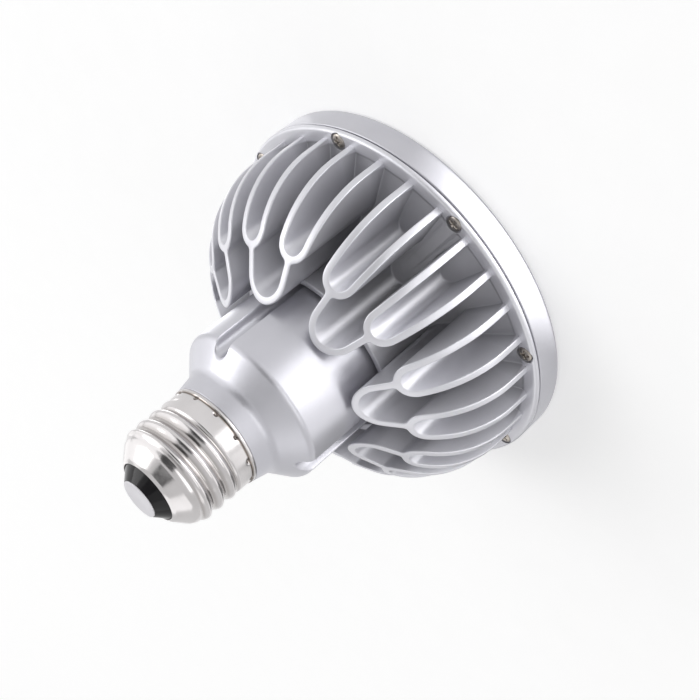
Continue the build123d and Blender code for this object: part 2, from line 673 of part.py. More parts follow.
def line_lead():
    y = BOARD_FACE + LEAD_RADIUS
    end = TIP_SEAT - EYELET_LENGTH
    return lead(
        (0, y, DRIVER_TOP - LEAD_OVERLAP),
        (0, y, DRIVER_TOP + LEAD_OVERLAP),
        (0, 0, end - LEAD_OVERLAP),
        (0, 0, end),
    )


def neutral_lead():
    y = BOARD_FACE + LEAD_RADIUS
    top = SPIGOT_TOP + LEAD_BEND
    return lead(
        (NEUTRAL_OFFSET, y, DRIVER_TOP - LEAD_OVERLAP),
        (NEUTRAL_OFFSET, y, top),
        (SHELL_BORE - CLEARANCE - LEAD_RADIUS / 2, y, top),
    )


NODES = [
    heat_sink, front_bezel, bezel_screws, front_optic, optic_gasket,
    led_board, led_emitter, thermal_pad, led_board_screws,
    neck_housing, neck_screws, screw_shell, base_insulator, tip_contact,
    driver_board, transformer_core, transformer_coil, bulk_capacitor, film_capacitor, filter_inductor,
    bridge_rectifier, power_transistor, controller_chip, fuse_resistor,
    led_leads, line_lead, neutral_lead,
]

os.makedirs("parts", exist_ok=True)
for node in NODES:
    export_step(node(), f"parts/{node.__name__}.step")
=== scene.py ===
import math

import bmesh
import bpy
import numpy as np
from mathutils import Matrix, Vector
from mathutils.geometry import delaunay_2d_cdt


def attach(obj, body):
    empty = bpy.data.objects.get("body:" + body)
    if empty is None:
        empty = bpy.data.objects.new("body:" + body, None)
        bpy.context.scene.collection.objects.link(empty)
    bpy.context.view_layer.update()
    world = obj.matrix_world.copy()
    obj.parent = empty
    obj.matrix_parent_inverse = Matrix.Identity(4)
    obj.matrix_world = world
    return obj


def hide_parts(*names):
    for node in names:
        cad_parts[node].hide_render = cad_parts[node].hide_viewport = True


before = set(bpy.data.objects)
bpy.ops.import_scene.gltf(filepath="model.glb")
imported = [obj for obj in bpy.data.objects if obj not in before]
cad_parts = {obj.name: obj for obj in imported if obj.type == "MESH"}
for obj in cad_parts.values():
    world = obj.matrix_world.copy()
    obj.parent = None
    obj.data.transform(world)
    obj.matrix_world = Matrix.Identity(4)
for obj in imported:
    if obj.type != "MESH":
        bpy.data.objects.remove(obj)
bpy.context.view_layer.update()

# Heat sink: one aluminium die casting, bead blasted to a cool satin silver. A bowl with a flange carries
# the hub, and eight hairpin groups of fins stand on it, each forking twice into four fins.
# The casting tapers a little towards its edges, and every edge is rounded.
crease_angle = math.radians(42)


def smooth_mesh(name, points, faces, *finishes):
    """Closed mesh of points in millimetres, with doubles merged, faces outwards and smooth shading."""
    mesh = bpy.data.meshes.new(name)
    mesh.from_pydata((np.asarray(points) / 1000).tolist(), [], faces)
    work = bmesh.new()
    work.from_mesh(mesh)
    bmesh.ops.remove_doubles(work, verts=work.verts, dist=1e-7)
    bmesh.ops.recalc_face_normals(work, faces=work.faces)
    work.to_mesh(mesh)
    work.free()
    mesh.shade_smooth()
    mesh.set_sharp_from_angle(angle=crease_angle)
    for finish in finishes:
        mesh.materials.append(finish)
    return mesh


def wrapped(grid):
    """Points and faces of a grid of points that closes on itself both ways."""
    rows, columns = grid.shape[:2]
    here = np.arange(rows * columns).reshape(rows, columns)
    beside = np.roll(here, -1, 1)
    faces = np.stack([here, beside, np.roll(beside, -1, 0), np.roll(here, -1, 0)], -1)
    return grid.reshape(-1, 3), faces.reshape(-1, 4).tolist()


def rounded_profile(corners, steps=6):
    """Closed outline of (radius, height, rounding) corners, each with a tangent arc."""
    outline = []
    for i, (radius, height, rounding) in enumerate(corners):
        corner = np.array((radius, height))
        if rounding == 0:
            outline.append(corner)
            continue
        back = np.array(corners[i - 1][:2]) - corner
        on = np.array(corners[(i + 1) % len(corners)][:2]) - corner
        back /= np.linalg.norm(back)
        on /= np.linalg.norm(on)
        half = math.acos(np.clip(back @ on, -1, 1)) / 2
        middle = (back + on) / np.linalg.norm(back + on)
        centre = corner + middle * rounding / math.sin(half)
        first = corner + back * rounding / math.tan(half) - centre
        last = corner + on * rounding / math.tan(half) - centre
        sweep = math.pi - 2 * half
        for s in np.linspace(0, 1, steps + 1):
            arm = first * math.sin((1 - s) * sweep) + last * math.sin(s * sweep)
            outline.append(centre + arm / math.sin(sweep))
    return np.array(outline)


def turned(outline, columns=240):
    """Grid of points of an outline turned about the lamp's axis."""
    angle = np.radians(np.arange(columns) * 360 / columns)
    radius = outline[:, :1]
    height = np.repeat(outline[:, 1:], columns, 1)
    return np.stack([radius * np.cos(angle), radius * np.sin(angle), height], -1)


def ring_tree():
    """Geometry nodes that stand copies of a piece in a ring about the lamp's axis."""
    tree = bpy.data.node_groups.new("ring of copies", "GeometryNodeTree")
    sockets = tree.interface
    sockets.new_socket("Geometry", in_out="INPUT", socket_type="NodeSocketGeometry")
    sockets.new_socket("Copies", in_out="INPUT", socket_type="NodeSocketInt")
    sockets.new_socket("First Angle", in_out="INPUT", socket_type="NodeSocketFloat")
    sockets.new_socket("Finish", in_out="INPUT", socket_type="NodeSocketMaterial")
    sockets.new_socket("Geometry", in_out="OUTPUT", socket_type="NodeSocketGeometry")
    node = tree.nodes.new
    link = tree.links.new
    start, end = node("NodeGroupInput"), node("NodeGroupOutput")
    points, index, step = node("GeometryNodePoints"), node("GeometryNodeInputIndex"), node("ShaderNodeMath")
    step.operation = "DIVIDE"
    step.inputs[0].default_value = math.tau
    turn = node("ShaderNodeMath")
    turn.operation = "MULTIPLY_ADD"
    spin, place = node("ShaderNodeCombineXYZ"), node("GeometryNodeInstanceOnPoints")
    euler = node("FunctionNodeEulerToRotation")
    real, finish = node("GeometryNodeRealizeInstances"), node("GeometryNodeSetMaterial")
    link(start.outputs["Copies"], points.inputs["Count"])
    link(start.outputs["Copies"], step.inputs[1])
    link(index.outputs[0], turn.inputs[0])
    link(step.outputs[0], turn.inputs[1])
    link(start.outputs["First Angle"], turn.inputs[2])
    link(turn.outputs[0], spin.inputs["Z"])
    link(spin.outputs[0], euler.inputs[0])
    link(points.outputs[0], place.inputs["Points"])
    link(start.outputs["Geometry"], place.inputs["Instance"])
    link(euler.outputs[0], place.inputs["Rotation"])
    link(place.outputs[0], real.inputs[0])
    link(real.outputs[0], finish.inputs["Geometry"])
    link(start.outputs["Finish"], finish.inputs["Material"])
    link(finish.outputs[0], end.inputs[0])
    return tree


ring_of_copies = ring_tree()


def ring(mesh, copies, first_angle, finish):
    """Plain mesh of copies of a mesh in a ring about the lamp's axis."""
    holder = bpy.data.objects.new("ring holder", mesh)
    bpy.context.collection.objects.link(holder)
    nodes = holder.modifiers.new("ring of copies", "NODES")
    nodes.node_group = ring_of_copies
    inputs = {s.name: s.identifier for s in ring_of_copies.interface.items_tree if s.in_out == "INPUT"}
    nodes[inputs["Copies"]] = copies
    nodes[inputs["First Angle"]] = math.radians(first_angle)
    nodes[inputs["Finish"]] = finish
    graph = bpy.context.evaluated_depsgraph_get()
    result = bpy.data.meshes.new_from_object(holder.evaluated_get(graph))
    holder.modifiers.remove(nodes)
    bpy.data.objects.remove(holder)
    return result


def joined(*meshes):
    """First mesh with the others added to it."""
    work = bmesh.new()
    for mesh in meshes:
        work.from_mesh(mesh)
    work.to_mesh(meshes[0])
    work.free()
    meshes[0].shade_smooth()
    meshes[0].set_sharp_from_angle(angle=crease_angle)
    return meshes[0]


def stand_in(name, mesh, slot, *nodes):
    """Finished piece that rides on the lamp and stands for solids of the frame."""
    piece = bpy.data.objects.new(name, mesh)
    bpy.context.collection.objects.link(piece)
    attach(piece, "root")
    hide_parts(*nodes)


def blasted_group():
    """Shader group of a fine blasted grain: a mottled colour, an uneven roughness and a grainy normal."""
    group = bpy.data.node_groups.new("blasted grain", "ShaderNodeTree")
    sockets = group.interface
    sockets.new_socket("Colour", in_out="INPUT", socket_type="NodeSocketColor")
    sockets.new_socket("Shade", in_out="INPUT", socket_type="NodeSocketColor")
    sockets.new_socket("Grain Size", in_out="INPUT", socket_type="NodeSocketFloat")
    sockets.new_socket("Grain Depth", in_out="INPUT", socket_type="NodeSocketFloat")
    sockets.new_socket("Roughness", in_out="INPUT", socket_type="NodeSocketFloat")
    sockets.new_socket("Colour", in_out="OUTPUT", socket_type="NodeSocketColor")
    sockets.new_socket("Roughness", in_out="OUTPUT", socket_type="NodeSocketFloat")
    sockets.new_socket("Normal", in_out="OUTPUT", socket_type="NodeSocketVector")
    node = group.nodes.new
    link = group.links.new
    start, end = node("NodeGroupInput"), node("NodeGroupOutput")
    place = node("ShaderNodeTexCoord")
    scale = node("ShaderNodeMath")
    scale.operation = "DIVIDE"
    scale.inputs[0].default_value = 1.0
    grain, cloud, mottle = node("ShaderNodeTexNoise"), node("ShaderNodeTexNoise"), node("ShaderNodeMix")
    grain.inputs["Detail"].default_value = 2.0
    cloud.inputs["Scale"].default_value = 90.0
    cloud.inputs["Detail"].default_value = 4.0
    mottle.data_type = "RGBA"
    spread = node("ShaderNodeMapRange")
    spread.inputs["From Min"].default_value = 0.35
    spread.inputs["From Max"].default_value = 0.65
    unevenness = 0.12
    uneven = node("ShaderNodeMath")
    uneven.operation = "MULTIPLY_ADD"
    uneven.inputs[1].default_value = unevenness
    lower = node("ShaderNodeMath")
    lower.operation = "SUBTRACT"
    lower.inputs[1].default_value = unevenness / 2
    bump = node("ShaderNodeBump")
    bump.inputs["Distance"].default_value = 0.00005
    link(start.outputs["Grain Size"], scale.inputs[1])
    link(place.outputs["Object"], grain.inputs["Vector"])
    link(place.outputs["Object"], cloud.inputs["Vector"])
    link(scale.outputs[0], grain.inputs["Scale"])
    link(cloud.outputs[0], spread.inputs["Value"])
    link(spread.outputs[0], mottle.inputs["Factor"])
    link(start.outputs["Colour"], mottle.inputs["A"])
    link(start.outputs["Shade"], mottle.inputs["B"])
    link(start.outputs["Roughness"], lower.inputs[0])
    link(grain.outputs[0], uneven.inputs[0])
    link(lower.outputs[0], uneven.inputs[2])
    link(grain.outputs[0], bump.inputs["Height"])
    link(start.outputs["Grain Depth"], bump.inputs["Strength"])
    link(mottle.outputs["Result"], end.inputs["Colour"])
    link(uneven.outputs[0], end.inputs["Roughness"])
    link(bump.outputs[0], end.inputs["Normal"])
    return group


blasted_grain = blasted_group()


def grained(name, colour, shade, grain, depth, roughness, shader_values=None):
    """Material with the shared grain, and other shader values set as they are."""
    finish = bpy.data.materials.new(name)
    finish.use_nodes = True
    tree = finish.node_tree
    shader = tree.nodes["Principled BSDF"]
    skin = tree.nodes.new("ShaderNodeGroup")
    skin.node_tree = blasted_grain
    skin.inputs["Colour"].default_value = (*colour, 1)
    skin.inputs["Shade"].default_value = (*shade, 1)
    skin.inputs["Grain Size"].default_value = grain / 1000
    skin.inputs["Grain Depth"].default_value = depth
    skin.inputs["Roughness"].default_value = roughness
    tree.links.new(skin.outputs["Colour"], shader.inputs["Base Color"])
    tree.links.new(skin.outputs["Roughness"], shader.inputs["Roughness"])
    tree.links.new(skin.outputs["Normal"], shader.inputs["Normal"])
    for socket, value in (shader_values or {}).items():
        shader.inputs[socket].default_value = value
    return finish


bell_middle, bell_radius, bell_sweep = np.array((20.6, 13.9)), 24.4, math.radians(60)
floor_low, floor_edge, floor_slope = 8.4, 43.4, 7.4 / 20.2
cast_silver = grained(
    "cast silver", (0.75, 0.748, 0.79), (0.71, 0.708, 0.75), 0.35, 0.35, 0.38, {"Metallic": 0.5})


def axis_reach(tree):
    """Socket of a point's distance from the lamp's axis."""
    place, flat, reach = (tree.nodes.new("ShaderNode" + n) for n in ("TexCoord", "VectorMath", "VectorMath"))
    flat.operation, reach.operation = "MULTIPLY", "LENGTH"
    flat.inputs[1].default_value = (1, 1, 0)
    tree.links.new(place.outputs["Object"], flat.inputs[0])
    tree.links.new(flat.outputs[0], reach.inputs[0])
    return reach.outputs["Value"]


def axis_height(tree):
    """Socket of a point's height above the lamp's front."""
    place, split = (tree.nodes.new("ShaderNode" + n) for n in ("TexCoord", "SeparateXYZ"))
    tree.links.new(place.outputs["Object"], split.inputs[0])
    return split.outputs["Z"]


def length_ramp(tree, length, start, end, first, last, interpolation="LINEAR"):
    """Socket that goes from one value to another while a length in millimetres goes from start to end."""
    ramp = tree.nodes.new("ShaderNodeMapRange")
    ramp.interpolation_type = interpolation
    ramp.inputs["From Min"].default_value = start / 1000
    ramp.inputs["From Max"].default_value = end / 1000
    ramp.inputs["To Min"].default_value = first
    ramp.inputs["To Max"].default_value = last
    tree.links.new(length, ramp.inputs["Value"])
    return ramp.outputs[0]


def worked_out(tree, operation, *terms):
    """Socket of one operation on sockets and plain numbers."""
    node = tree.nodes.new("ShaderNodeMath")
    node.operation = operation
    for term, socket in zip(terms, node.inputs):
        if isinstance(term, bpy.types.NodeSocket):
            tree.links.new(term, socket)
        else:
            socket.default_value = term
    return node.outputs[0]


def paint_shade_between_fins(finish):
    """Paint shade into a casting's colour between the fins, toward the hub and the flange, but not inside the
    bowl.
    """
    tree = finish.node_tree
    reach, height = axis_reach(tree), axis_height(tree)
    section, from_middle, tint = (
        tree.nodes.new("ShaderNode" + n) for n in ("CombineXYZ", "VectorMath", "VectorMath"))
    from_middle.operation, tint.operation = "DISTANCE", "SCALE"
    from_middle.inputs[1].default_value = (bell_middle[0] / 1000, 0, bell_middle[1] / 1000)
    tree.links.new(reach, section.inputs["X"])
    tree.links.new(height, section.inputs["Z"])
    tree.links.new(section.outputs[0], from_middle.inputs[0])
    bell = from_middle.outputs["Value"]
    deep = length_ramp(tree, bell, bell_radius - 13, bell_radius - 1, 0.5, 1)
    low = length_ramp(tree, height, floor_low, floor_low + 4.6, 0.58, 1)
    outermost = length_ramp(tree, bell, bell_radius - 1.5, bell_radius - 0.3, 0, 1)
    shade = worked_out(tree, "MULTIPLY", deep, worked_out(tree, "MAXIMUM", low, outermost))
    floor_line = floor_low + floor_slope * floor_edge
    above_floor = worked_out(tree, "MULTIPLY_ADD", reach, floor_slope, height)
    in_bowl = length_ramp(tree, above_floor, floor_line - 1.6, floor_line - 0.6, 1, 0)
    shader = tree.nodes["Principled BSDF"]
    tree.links.new(shader.inputs["Base Color"].links[0].from_socket, tint.inputs[0])
    tree.links.new(worked_out(tree, "MAXIMUM", shade, in_bowl), tint.inputs["Scale"])
    tree.links.new(tint.outputs[0], shader.inputs["Base Color"])


# Painted shade darkens the cast silver deep between the fins and low toward the flange, but not on the fins'
# outer edges or inside the bowl.
paint_shade_between_fins(cast_silver)
fin_groups = 8
fork_angle, fin_angle = 90 / fin_groups, 45 / fin_groups
fork_turn, fin_turn = math.radians(fork_angle), math.radians(fin_angle)
hub_throat, fork_throat, fork_fillet = 22.35, 32.6, 1.0
fin_half, fin_reach, fin_foot = 0.85, 45.0, 8.1
edge_round, edge_run = 0.3, 0.2
foot_round, foot_setback, foot_sink, draft = 0.3, 0.35, 0.6, 0.12


def bell_angle(radius, height=None):
    """Angle on the bell's arc, seen from the side, of a point at a radius, or at a radius and a height."""
    if height is None:
        return np.arccos(np.clip((radius - bell_middle[0]) / bell_radius, math.cos(bell_sweep), 1))
    return np.clip(np.arctan2(height - bell_middle[1], radius - bell_middle[0]), 0, bell_sweep)


def bell_height(radius):
    """Height of the fins' outer surface at a radius: an arc, then a straight cone towards the neck."""
    knee = bell_middle[0] + bell_radius * math.cos(bell_sweep)
    arc = bell_middle[1] + bell_radius * np.sin(bell_angle(radius))
    return arc + np.maximum(knee - radius, 0) / math.tan(bell_sweep)


def hairpin(turn, throat):
    """Centre and middle radius of a hairpin between two radial walls, and where those walls begin."""
    centre = throat / (1 - math.sin(turn))
    return centre, centre * math.sin(turn), centre * math.cos(turn)


def turn_plan(samples, angle):
    """Samples of (x, y, normal x, normal y, height, foot radius) turned about the axis."""
    c, s = math.cos(angle), math.sin(angle)
    out = samples.copy()
    for k in (0, 2):
        out[:, k] = c * samples[:, k] - s * samples[:, k + 1]
        out[:, k + 1] = s * samples[:, k] + c * samples[:, k + 1]
    return out


def arc_wall(centre, radius, first, last, inward, count):
    """Samples of a bend about a centre, whose wall faces the centre or faces away."""
    angle = np.radians(np.linspace(first, last, count))
    x, y = centre[0] + radius * np.cos(angle), centre[1] + radius * np.sin(angle)
    sign = -1 if inward else 1
    height = bell_height(np.hypot(x, y))
    return np.stack([x, y, sign * np.cos(angle), sign * np.sin(angle), height, np.full(count, np.nan)], 1)


def fin_wall():
    """Samples of the +Y side of a straight fin on +X, from its fork out and down to the flange."""
    start = hairpin(fin_turn, fork_throat)[2]
    angle = np.linspace(float(bell_angle(start)), 0, 17)[1:]
    down = np.linspace(bell_middle[1], fin_foot, 6)[1:]
    x = np.concatenate([bell_middle[0] + bell_radius * np.cos(angle), np.full(len(down), fin_reach)])
    height = np.concatenate([bell_middle[1] + bell_radius * np.sin(angle), down])
    share = np.arange(1, len(x) + 1) / len(x)
    foot = start + (fin_reach - foot_setback - start) * share
    zero = np.zeros(len(x))
    return np.stack([x, zero + fin_half, zero, zero + 1, height, foot], 1)


def fork_back():
    """Samples of the outside of a small fork on +X, from its upper fin round to the top of its stem."""
    centre, bend, _ = hairpin(fin_turn, fork_throat)
    outer = bend + fin_half
    rise = fin_half + fork_fillet
    back = math.sqrt((outer + fork_fillet) ** 2 - rise ** 2)
    lean = math.degrees(math.atan2(rise, back))
    bend_part = arc_wall((centre, 0), outer, 90 + fin_angle, 180 - lean, False, 9)
    fillet_part = arc_wall((centre - back, rise), fork_fillet, -lean, -90, True, 6)[1:]
    return np.concatenate([bend_part, fillet_part])


def mirrored(samples):
    """Samples on the other side of +X, in the opposite order."""
    return samples[::-1] * (1, -1, 1, -1, 1, 1)


def outline_runs():
    """The four runs of wall samples between fin ends, anticlockwise round one fin group about +X."""
    hub_centre, hub_bend, _ = hairpin(fork_turn, hub_throat)
    fork_centre, fork_bend, _ = hairpin(fin_turn, fork_throat)
    out_upper = turn_plan(fin_wall(), fork_turn + fin_turn)[::-1]
    back_upper = turn_plan(fork_back(), fork_turn)
    hub_outside = arc_wall((hub_centre, 0), hub_bend + fin_half, 90 + fork_angle, 180, False, 13)
    outside = np.concatenate([out_upper, back_upper, hub_outside])
    outside = np.concatenate([outside, mirrored(outside)[1:]])
    in_wall = turn_plan(fin_wall(), -fin_turn)[::-1]
    in_bend = arc_wall((fork_centre, 0), fork_bend - fin_half, 270 - fin_angle, 90 + fin_angle, True, 25)
    mouth = np.concatenate([in_wall, in_bend, mirrored(in_wall)])
    fin_two = turn_plan(fin_wall(), fin_turn - fork_turn)[::-1]
    back_two = turn_plan(fork_back(), -fork_turn)
    hub_inside = arc_wall((hub_centre, 0), hub_bend - fin_half, 270 - fork_angle, 180, True, 13)
    chamber = np.concatenate([fin_two, back_two, hub_inside])
    chamber = np.concatenate([chamber, mirrored(chamber)[1:]])
    return [outside, turn_plan(mouth, -fork_turn), chamber, turn_plan(mouth, fork_turn)]


def unrolled(points):
    """Points of the bell's surface laid out flat, for filling the fins' edges with faces."""
    radius, height = np.hypot(points[:, 0], points[:, 1]), points[:, 2]
    angle = bell_angle(radius, height)
    knee = bell_middle[0] + bell_radius * math.cos(bell_sweep)
    knee_reach = 60
    cone = np.maximum(knee - radius, 0) / math.sin(bell_sweep)
    reach = knee_reach + bell_radius * (bell_sweep - angle) - cone
    reach = reach + np.where(angle <= 0, np.maximum(bell_middle[1] - height, 0), 0)
    turn = np.arctan2(points[:, 1], points[:, 0])
    return np.stack([reach * np.cos(turn), reach * np.sin(turn)], 1)


def unit(vectors):
    """Vectors of length one."""
    return vectors / np.linalg.norm(vectors, axis=1, keepdims=True)


def fin_rings():
    """Rings of points round one fin group: over its rounded edge, down its walls and out at its foot."""
    rings = []
    for samples in outline_runs():
        top = samples[:, [0, 1, 4]]
        wall = np.stack([samples[:, 2], samples[:, 3], np.zeros(len(samples))], 1)
        radius = np.hypot(top[:, 0], top[:, 1])
        turn = bell_angle(radius, top[:, 2])
        out = unit(top * (1, 1, 0))
        skin = out * np.cos(turn)[:, None] + np.array((0, 0, 1)) * np.sin(turn)[:, None]
        along = unit(np.gradient(top, axis=0))
        inward = unit(np.cross(skin, along))
        inward *= -np.sign((inward * wall).sum(1))[:, None]
        down = unit(np.cross(wall, along))
        down *= -np.sign((down * skin).sum(1))[:, None]
        half = np.arccos(np.clip((inward * down).sum(1), -1, 1))[:, None] / 2
        centre = top + unit(inward + down) * edge_round / np.sin(half)
        first = top + inward * edge_round / np.tan(half) - centre
        last = top + down * edge_round / np.tan(half) - centre
        sweep = math.pi - 2 * half
        levels = [centre + (first * np.sin((1 - s) * sweep) + last * np.sin(s * sweep)) / np.sin(sweep)
                  for s in np.linspace(0, 1, 6)]
        levels.append(levels[-1] + down * edge_run)
        foot_radius = np.where(np.isnan(samples[:, 5]), radius, samples[:, 5])
        plan = samples[:, :2] * (foot_radius / radius)[:, None] + samples[:, 2:4] * draft
        for s in np.radians((0, 30, 60, 90)):
            spot = plan + samples[:, 2:4] * foot_round * (1 - math.cos(s))
            floor = floor_low + floor_slope * (floor_edge - np.hypot(spot[:, 0], spot[:, 1]))
            levels.append(np.column_stack([spot, floor + foot_round * (1 - math.sin(s))]))
        levels.append(levels[-1] - (0, 0, foot_sink))
        rings.append(np.stack(levels))
    return np.concatenate(rings, 1)


def fin_group():
    """Mesh of one closed fin group about +X."""
    grid = fin_rings()
    levels, count = grid.shape[:2]
    here = np.arange(levels * count).reshape(levels, count)
    beside = np.roll(here, -1, 1)
    walls = np.stack([here[:-1], beside[:-1], beside[1:], here[1:]], -1).reshape(-1, 4).tolist()
    flat = [Vector(p) for p in unrolled(grid[0])]
    _, _, cells, sources, _, _ = delaunay_2d_cdt(flat, [], [list(range(count))], 1, 1e-7)
    cap = [[sources[k][0] for k in cell] for cell in cells]
    foot = [[(levels - 1) * count + k for k in reversed(cell)] for cell in cap]
    return smooth_mesh("fin group", grid.reshape(-1, 3), walls + cap + foot, cast_silver)


lamp_radius, seam_radius, seam_height = 47.5, 46.6, 7.2
hub_bore, hub_radius, hub_top = 21.5, 23.2, 31.6
plate_low, plate_top, flange_top = 14.3, 18.3, 8.5
bowl = smooth_mesh("bowl", *wrapped(turned(rounded_profile([
    (0, plate_top, 0), (hub_bore, plate_top, 0), (hub_bore, hub_top, 0.35), (hub_radius, hub_top, 0.35),
    (hub_radius, 15.8, 0.5), (43.3, 8.45, 0.6), (46.0, flange_top, 0), (lamp_radius, flange_top, 0.85),
    (lamp_radius, 7.25, 0.25), (seam_radius, seam_height, 0), (40.9, seam_height, 0.2),
    (hub_bore, plate_low, 0.6), (0, plate_low, 0)]))), cast_silver)
screw_count, screw_circle = 8, 45.0


def screw_block(radius, low, high, limit):
    """Upright round block at a screw's place on +X, cut back where it would reach past a radius."""
    sides = 48
    angle = np.radians(np.arange(sides) * 360 / sides)
    rim = np.stack([screw_circle + radius * np.cos(angle), radius * np.sin(angle)], 1)
    rim *= np.minimum(1, limit / np.hypot(rim[:, 0], rim[:, 1]))[:, None]
    middle = np.array((screw_circle, 0))
    rows = [np.column_stack([middle + (rim - middle) * share, np.full(sides, height)])
            for share, height in ((0, low), (1, low), (1, high), (0, high))]
    return smooth_mesh("block", *wrapped(np.stack(rows)), cast_silver)


sliver = 2e-6


def combined(mesh, tool_mesh, operation):
    """Mesh after a boolean with another mesh, without the empty slivers that it leaves."""
    body = bpy.data.objects.new("body", mesh)
    tool = bpy.data.objects.new("tool", tool_mesh)
    for thing in (body, tool):
        bpy.context.collection.objects.link(thing)
    cut = body.modifiers.new("cut", "BOOLEAN")
    cut.operation = operation
    cut.object = tool
    cut.solver = "EXACT"
    graph = bpy.context.evaluated_depsgraph_get()
    result = bpy.data.meshes.new_from_object(body.evaluated_get(graph))
    for thing in (body, tool):
        bpy.data.objects.remove(thing)
    work = bmesh.new()
    work.from_mesh(result)
    bmesh.ops.dissolve_degenerate(work, dist=sliver, edges=work.edges)
    work.to_mesh(result)
    work.free()
    return result


boss_radius, boss_low = 2.9, 7.4
spot_radius, spot_floor, spot_top = 2.2, 7.8, 12
bosses = ring(screw_block(boss_radius, boss_low, flange_top, seam_radius), screw_count, 0, cast_silver)
spot_faces = ring(screw_block(spot_radius, spot_floor, spot_top, lamp_radius), screw_count, 0, cast_silver)
bowl = combined(combined(bowl, bosses, "UNION"), spot_faces, "DIFFERENCE")
fins = ring(fin_group(), fin_groups, 0, cast_silver)
stand_in("heat_sink_casting", joined(bowl, fins), "cast_silver", "heat_sink")

# Front bezel: a turned aluminium ring that holds the lens against the flange, blasted like the casting.
# A fine open groove runs between the two, with a small bevel on each side.
blasted_ring = grained(
    "blasted ring", (0.60, 0.597, 0.635), (0.57, 0.567, 0.605), 0.3, 0.3, 0.36, {"Metallic": 0.75})
lip_bore, lip_top, seat_bore, bezel_top = 41.4, 1.6, 43.2, 6.85
bezel_mesh = smooth_mesh("bezel", *wrapped(turned(rounded_profile([
    (lip_bore, 0, 0.4), (lamp_radius, 0, 1.2), (lamp_radius, bezel_top, 0.3), (seam_radius, bezel_top, 0),
    (seam_radius, seam_height, 0), (seat_bore, seam_height, 0.15), (seat_bore, lip_top, 0),
    (lip_bore, lip_top, 0.3)]), 300)), blasted_ring)
stand_in("bezel_ring", bezel_mesh, "cast_silver", "front_bezel")

# Bezel screws: eight small steel pan heads with a cross recess, sunk in the flange's spot faces.
# They are oiled steel, a little brown next to the casting.
screw_steel = grained(
    "oiled screw steel", (0.50, 0.46, 0.42), (0.30, 0.27, 0.24), 0.5, 0.25, 0.32, {"Metallic": 1.0})
head_radius, head_rim, head_crown = 1.85, 0.4, 0.9
recess_half, recess_reach, recess_depth = 0.29, 0.62 * head_radius, 0.5
recess_side, recess_end = 0.12, 0.25


def screw_head():
    """Grid of a domed head about the axis, with a soft-edged cross recess and a flat underside."""
    share = np.concatenate([np.linspace(0, 0.9, 22), [0.95, 0.985, 1.0]])
    angle = np.radians(np.arange(96) * 3.75)
    x, y = head_radius * np.outer(share, np.cos(angle)), head_radius * np.outer(share, np.sin(angle))
    dome = np.sqrt(np.clip(1 - share ** 2, 0, 1))[:, None]
    height = head_rim + (head_crown - head_rim) * dome + 0 * x
    near, far = np.minimum(abs(x), abs(y)), np.maximum(abs(x), abs(y))
    within_sides = np.clip((recess_half - near) / recess_side + 0.5, 0, 1)
    within_ends = np.clip((recess_reach - far) / recess_end + 0.5, 0, 1)
    top = np.stack([x, y, height - within_sides * within_ends * recess_depth], -1)
    under = np.stack([top[-1] * (1, 1, 0), top[0] * (0, 0, 0)])
    return np.concatenate([top, under])


screw_grid = screw_head() + (screw_circle, 0, spot_floor)
one_screw = smooth_mesh("screw", *wrapped(screw_grid), screw_steel)
stand_in("bezel_screw_heads", ring(one_screw, screw_count, 0, screw_steel), "screw_steel", "bezel_screws")

# Neck housing: a moulded plastic tube painted satin silver, which closes the driver space. Its shoulder
# narrows to a collar for the screw base, and three half-round grooves run along its side.
silver_paint = grained(
    "satin silver paint", (0.60, 0.597, 0.64), (0.575, 0.572, 0.615), 0.25, 0.22, 0.36, {"Metallic": 0.75})
tube_bore, tube_radius, tube_low, tube_top = 18.5, 20.3, 18.4, 53.9
collar_radius, collar_top = 13.3, 64.5
spigot_bore, spigot_radius, spigot_top = 9.7, 11.4, 74
neck_outside = rounded_profile([
    (tube_bore, tube_low, 0), (tube_radius, tube_low, 0), (tube_radius, tube_top, 2.4), (14.3, 59.6, 4.0),
    (collar_radius, collar_top, 0.15), (spigot_radius, collar_top, 0), (spigot_radius, spigot_top, 0),
    (spigot_bore, spigot_top, 0), (spigot_bore, 60.4, 0), (tube_bore, 52.1, 0)], 10)


def filled_in(outline, low, high, step):
    """Outline with extra points on its outer straight runs between two heights."""
    points = []
    for here, there in zip(outline, np.roll(outline, -1, 0)):
        points.append(here)
        between = low <= min(here[1], there[1]) and max(here[1], there[1]) <= high
        if between and here[0] > spigot_radius:
            count = int(np.linalg.norm(there - here) / step)
            points += [here + (there - here) * k / (count + 1) for k in range(1, count + 1)]
    return np.array(points)


neck_outline = filled_in(neck_outside, 51, 65, 0.14)
groove_angles = (90, 210, 330)
groove_half, groove_middle, groove_wall, mouth_round = 2.2, 19.5, 1.8, 0.55
mouth_slope, far_side = 6, 99
near_groove = np.concatenate([np.linspace(-9, 9, 91), np.arange(12, 110, 3)])
neck_angle = np.radians(np.concatenate([near_groove + g for g in groove_angles]))
neck_radius = np.repeat(neck_outline[:, :1], len(neck_angle), 1)
from_groove = [neck_angle - math.radians(g) for g in groove_angles]
across = np.min([abs(neck_radius * np.sin(a)) + far_side * (np.cos(a) < 0) for a in from_groove], 0)
round_bottom = groove_middle - np.sqrt(np.clip(groove_half ** 2 - across ** 2, 0, None))
mouth = groove_middle + (across - groove_half) * mouth_slope
channel = np.where(across < groove_half, round_bottom, mouth)
mix = np.clip(0.5 + 0.5 * (channel - neck_radius) / mouth_round, 0, 1)
softened = channel * (1 - mix) + neck_radius * mix - mouth_round * mix * (1 - mix)
inner_side = abs(neck_outline[:, :1] - tube_bore) < 1e-6
outer_side = (neck_outline[:, :1] > spigot_radius) & ~inner_side
neck_radius = np.where(outer_side, np.minimum(softened, neck_radius), neck_radius)
neck_radius = np.where(inner_side, np.minimum(neck_radius, channel - groove_wall), neck_radius)
